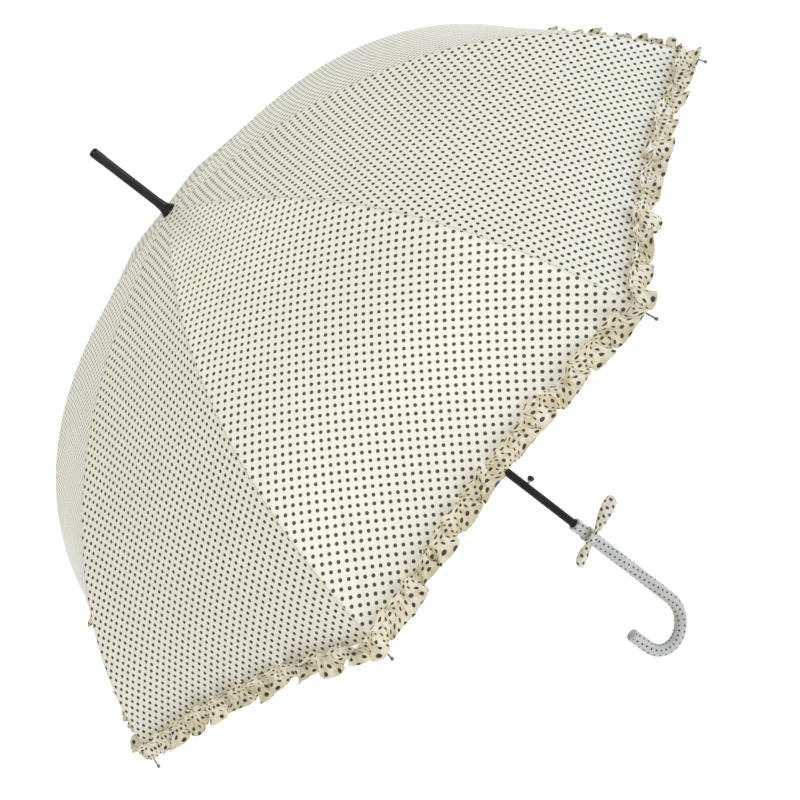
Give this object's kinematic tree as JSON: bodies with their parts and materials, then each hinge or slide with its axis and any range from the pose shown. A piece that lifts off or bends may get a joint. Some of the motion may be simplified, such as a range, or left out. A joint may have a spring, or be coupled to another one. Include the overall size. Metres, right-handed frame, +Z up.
{
  "type": "umbrella",
  "caption": "Domed stick umbrella with a ruffled polka-dot canopy on folding ribs, push-button catch, dotted J-hook handle with a fabric bow",
  "frame": {"origin": "Middle of the hand's grip on the handle's straight part, on the shaft's axis", "axes": "+Z runs up the shaft to the ferrule; -X is the side that the hook curls to; +X is the side of the push button; rib 1 points along +X"},
  "size_m": [0.9874, 0.9874, 0.9205],
  "materials": {
    "shaft_paint": "gloss",
    "ferrule_metal": "polished",
    "frame_paint": "satin",
    "tip_steel": "satin",
    "wire_steel": "satin",
    "black_plastic": "gloss",
    "canopy_satin": "satin",
    "ruffle_satin": "satin",
    "bow_satin": "satin",
    "handle_print": "gloss",
    "handle_body": "matte"
  },
  "bodies": {
    "shaft": {"shaft_tube": "shaft_paint", "ferrule": "ferrule_metal", "ferrule_tip": "ferrule_metal", "canopy_cap": "black_plastic", "top_notch": "black_plastic", "notch_ring": "wire_steel", "lower_catch_rivet": "shaft_paint", "upper_catch_rivet": "shaft_paint", "handle_core": "handle_body", "handle_cover": "handle_print", "handle_bush": "black_plastic", "bow_band": "bow_satin", "bow_knot": "bow_satin", "bow_loops": "bow_satin"},
    "runner": {"runner": "black_plastic", "runner_ring": "wire_steel"},
    "lower_catch": {"lower_catch": "wire_steel", "push_button": "black_plastic"},
    "top_catch": {"top_catch": "wire_steel"},
    "rib_1": {"rib_1": "frame_paint", "rib_tip_1": "tip_steel", "canopy_panel_1": "canopy_satin", "ruffle_1": "ruffle_satin"},
    "stretcher_1": {"stretcher_1": "frame_paint"},
    "rib_2": {"rib_2": "frame_paint", "rib_tip_2": "tip_steel", "canopy_panel_2": "canopy_satin", "ruffle_2": "ruffle_satin"},
    "stretcher_2": {"stretcher_2": "frame_paint"},
    "rib_3": {"rib_3": "frame_paint", "rib_tip_3": "tip_steel", "canopy_panel_3": "canopy_satin", "ruffle_3": "ruffle_satin"},
    "stretcher_3": {"stretcher_3": "frame_paint"},
    "rib_4": {"rib_4": "frame_paint", "rib_tip_4": "tip_steel", "canopy_panel_4": "canopy_satin", "ruffle_4": "ruffle_satin"},
    "stretcher_4": {"stretcher_4": "frame_paint"},
    "rib_5": {"rib_5": "frame_paint", "rib_tip_5": "tip_steel", "canopy_panel_5": "canopy_satin", "ruffle_5": "ruffle_satin"},
    "stretcher_5": {"stretcher_5": "frame_paint"},
    "rib_6": {"rib_6": "frame_paint", "rib_tip_6": "tip_steel", "canopy_panel_6": "canopy_satin", "ruffle_6": "ruffle_satin"},
    "stretcher_6": {"stretcher_6": "frame_paint"},
    "rib_7": {"rib_7": "frame_paint", "rib_tip_7": "tip_steel", "canopy_panel_7": "canopy_satin", "ruffle_7": "ruffle_satin"},
    "stretcher_7": {"stretcher_7": "frame_paint"},
    "rib_8": {"rib_8": "frame_paint", "rib_tip_8": "tip_steel", "canopy_panel_8": "canopy_satin", "ruffle_8": "ruffle_satin"},
    "stretcher_8": {"stretcher_8": "frame_paint"}
  },
  "joints": [
    {"name": "canopy_fold", "type": "hinge", "parent": "shaft", "child": "rib_1", "pos_m": [0.0085, 0, 0.696], "axis": [0, 1, 0], "range_deg": [0, 58], "deforming": ["canopy_panel_1", "ruffle_1"]},
    {"name": "stretcher_1_swing", "type": "hinge", "parent": "rib_1", "child": "stretcher_1", "pos_m": [0.24517, 0, 0.63892], "axis": [0, 1, 0], "range_deg": [-116, 0]},
    {"name": "rib_2_fold", "type": "hinge", "parent": "shaft", "child": "rib_2", "pos_m": [0.00601, 0.00601, 0.696], "axis": [-0.7071, 0.7071, 0], "range_deg": [0, 58], "deforming": ["canopy_panel_2", "ruffle_2"]},
    {"name": "stretcher_2_swing", "type": "hinge", "parent": "rib_2", "child": "stretcher_2", "pos_m": [0.17336, 0.17336, 0.63892], "axis": [-0.7071, 0.7071, 0], "range_deg": [-116, 0]},
    {"name": "rib_3_fold", "type": "hinge", "parent": "shaft", "child": "rib_3", "pos_m": [0, 0.0085, 0.696], "axis": [-1, 0, 0], "range_deg": [0, 58], "deforming": ["canopy_panel_3", "ruffle_3"]},
    {"name": "stretcher_3_swing", "type": "hinge", "parent": "rib_3", "child": "stretcher_3", "pos_m": [0, 0.24517, 0.63892], "axis": [-1, 0, 0], "range_deg": [-116, 0]},
    {"name": "rib_4_fold", "type": "hinge", "parent": "shaft", "child": "rib_4", "pos_m": [-0.00601, 0.00601, 0.696], "axis": [-0.7071, -0.7071, 0], "range_deg": [0, 58], "deforming": ["canopy_panel_4", "ruffle_4"]},
    {"name": "stretcher_4_swing", "type": "hinge", "parent": "rib_4", "child": "stretcher_4", "pos_m": [-0.17336, 0.17336, 0.63892], "axis": [-0.7071, -0.7071, 0], "range_deg": [-116, 0]},
    {"name": "rib_5_fold", "type": "hinge", "parent": "shaft", "child": "rib_5", "pos_m": [-0.0085, 0, 0.696], "axis": [0, -1, 0], "range_deg": [0, 58], "deforming": ["canopy_panel_5", "ruffle_5"]},
    {"name": "stretcher_5_swing", "type": "hinge", "parent": "rib_5", "child": "stretcher_5", "pos_m": [-0.24517, 0, 0.63892], "axis": [0, -1, 0], "range_deg": [-116, 0]},
    {"name": "rib_6_fold", "type": "hinge", "parent": "shaft", "child": "rib_6", "pos_m": [-0.00601, -0.00601, 0.696], "axis": [0.7071, -0.7071, 0], "range_deg": [0, 58], "deforming": ["canopy_panel_6", "ruffle_6"]},
    {"name": "stretcher_6_swing", "type": "hinge", "parent": "rib_6", "child": "stretcher_6", "pos_m": [-0.17336, -0.17336, 0.63892], "axis": [0.7071, -0.7071, 0], "range_deg": [-116, 0]},
    {"name": "rib_7_fold", "type": "hinge", "parent": "shaft", "child": "rib_7", "pos_m": [0, -0.0085, 0.696], "axis": [1, 0, 0], "range_deg": [0, 58], "deforming": ["canopy_panel_7", "ruffle_7"]},
    {"name": "stretcher_7_swing", "type": "hinge", "parent": "rib_7", "child": "stretcher_7", "pos_m": [0, -0.24517, 0.63892], "axis": [1, 0, 0], "range_deg": [-116, 0]},
    {"name": "rib_8_fold", "type": "hinge", "parent": "shaft", "child": "rib_8", "pos_m": [0.00601, -0.00601, 0.696], "axis": [0.7071, 0.7071, 0], "range_deg": [0, 58], "deforming": ["canopy_panel_8", "ruffle_8"]},
    {"name": "stretcher_8_swing", "type": "hinge", "parent": "rib_8", "child": "stretcher_8", "pos_m": [0.17336, -0.17336, 0.63892], "axis": [0.7071, 0.7071, 0], "range_deg": [-116, 0]},
    {"name": "runner_travel", "type": "hinge", "parent": "stretcher_1", "child": "runner", "pos_m": [0.0085, 0, 0.58183], "axis": [0, 1, 0], "range_deg": [0, 58]},
    {"name": "button_press", "type": "hinge", "parent": "shaft", "child": "lower_catch", "pos_m": [0, 0, 0.1475], "axis": [0, -1, 0], "range_deg": [0, 4], "stiffness_Nm_per_rad": 0.3, "springref_deg": -2.86},
    {"name": "top_catch_press", "type": "hinge", "parent": "shaft", "child": "top_catch", "pos_m": [0, 0, 0.50375], "axis": [0, -1, 0], "range_deg": [0, 4], "stiffness_Nm_per_rad": 0.3, "springref_deg": -2.86}
  ],
  "couplings": [
    {"joint": "stretcher_1_swing", "follows": "canopy_fold", "ratio": -2},
    {"joint": "rib_2_fold", "follows": "canopy_fold", "ratio": 1},
    {"joint": "stretcher_2_swing", "follows": "canopy_fold", "ratio": -2},
    {"joint": "rib_3_fold", "follows": "canopy_fold", "ratio": 1},
    {"joint": "stretcher_3_swing", "follows": "canopy_fold", "ratio": -2},
    {"joint": "rib_4_fold", "follows": "canopy_fold", "ratio": 1},
    {"joint": "stretcher_4_swing", "follows": "canopy_fold", "ratio": -2},
    {"joint": "rib_5_fold", "follows": "canopy_fold", "ratio": 1},
    {"joint": "stretcher_5_swing", "follows": "canopy_fold", "ratio": -2},
    {"joint": "rib_6_fold", "follows": "canopy_fold", "ratio": 1},
    {"joint": "stretcher_6_swing", "follows": "canopy_fold", "ratio": -2},
    {"joint": "rib_7_fold", "follows": "canopy_fold", "ratio": 1},
    {"joint": "stretcher_7_swing", "follows": "canopy_fold", "ratio": -2},
    {"joint": "rib_8_fold", "follows": "canopy_fold", "ratio": 1},
    {"joint": "stretcher_8_swing", "follows": "canopy_fold", "ratio": -2},
    {"joint": "runner_travel", "follows": "canopy_fold", "ratio": 1}
  ]
}
